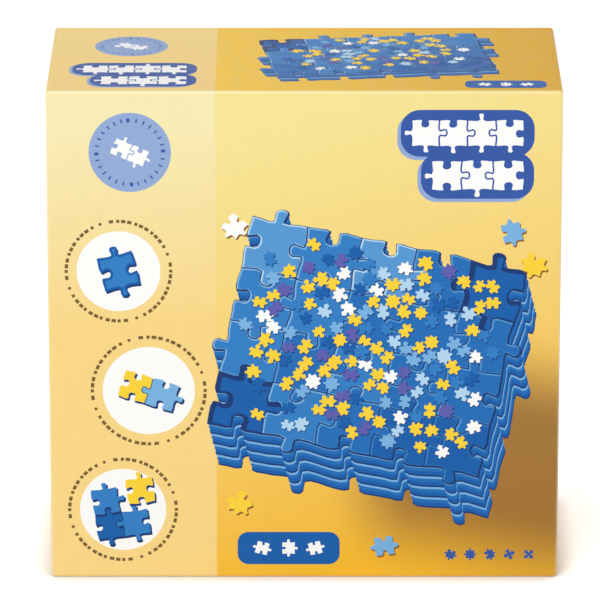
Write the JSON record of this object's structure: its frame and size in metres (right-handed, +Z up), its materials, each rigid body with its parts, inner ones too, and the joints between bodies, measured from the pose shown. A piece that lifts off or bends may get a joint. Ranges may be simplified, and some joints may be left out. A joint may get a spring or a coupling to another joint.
{
  "type": "boxed set of jigsaw puzzle sorting trays",
  "caption": "Square rigid cardboard box, stood on its edge: a deep telescoping lid over a base that holds a nested stack of jigsaw-shaped sorting trays.",
  "frame": {"origin": "the middle of the box's bottom, which is the lid's lower wall, on the surface that it stands on", "axes": "+Z up; the lid's printed panel faces -Y and the base's panel +Y; X runs along the width"},
  "size_m": [0.228, 0.108, 0.228],
  "materials": {
    "lid_print": "greyboard covered with printed paper under a satin laminate",
    "base_wrap": "greyboard covered with plain yellow paper under a satin laminate",
    "tray_plastic": "moulded blue plastic with a soft gloss"
  },
  "bodies": {
    "base": {"box_base": "base_wrap", "tray_1": "tray_plastic", "tray_2": "tray_plastic", "tray_3": "tray_plastic", "tray_4": "tray_plastic", "tray_5": "tray_plastic", "tray_6": "tray_plastic", "tray_7": "tray_plastic", "tray_8": "tray_plastic"},
    "lid": {"box_lid": "lid_print"}
  },
  "joints": [
    {"name": "lid_slide", "type": "slide", "parent": "base", "child": "lid", "axis": [0, -1, 0], "range_m": [0, 0.18]}
  ]
}
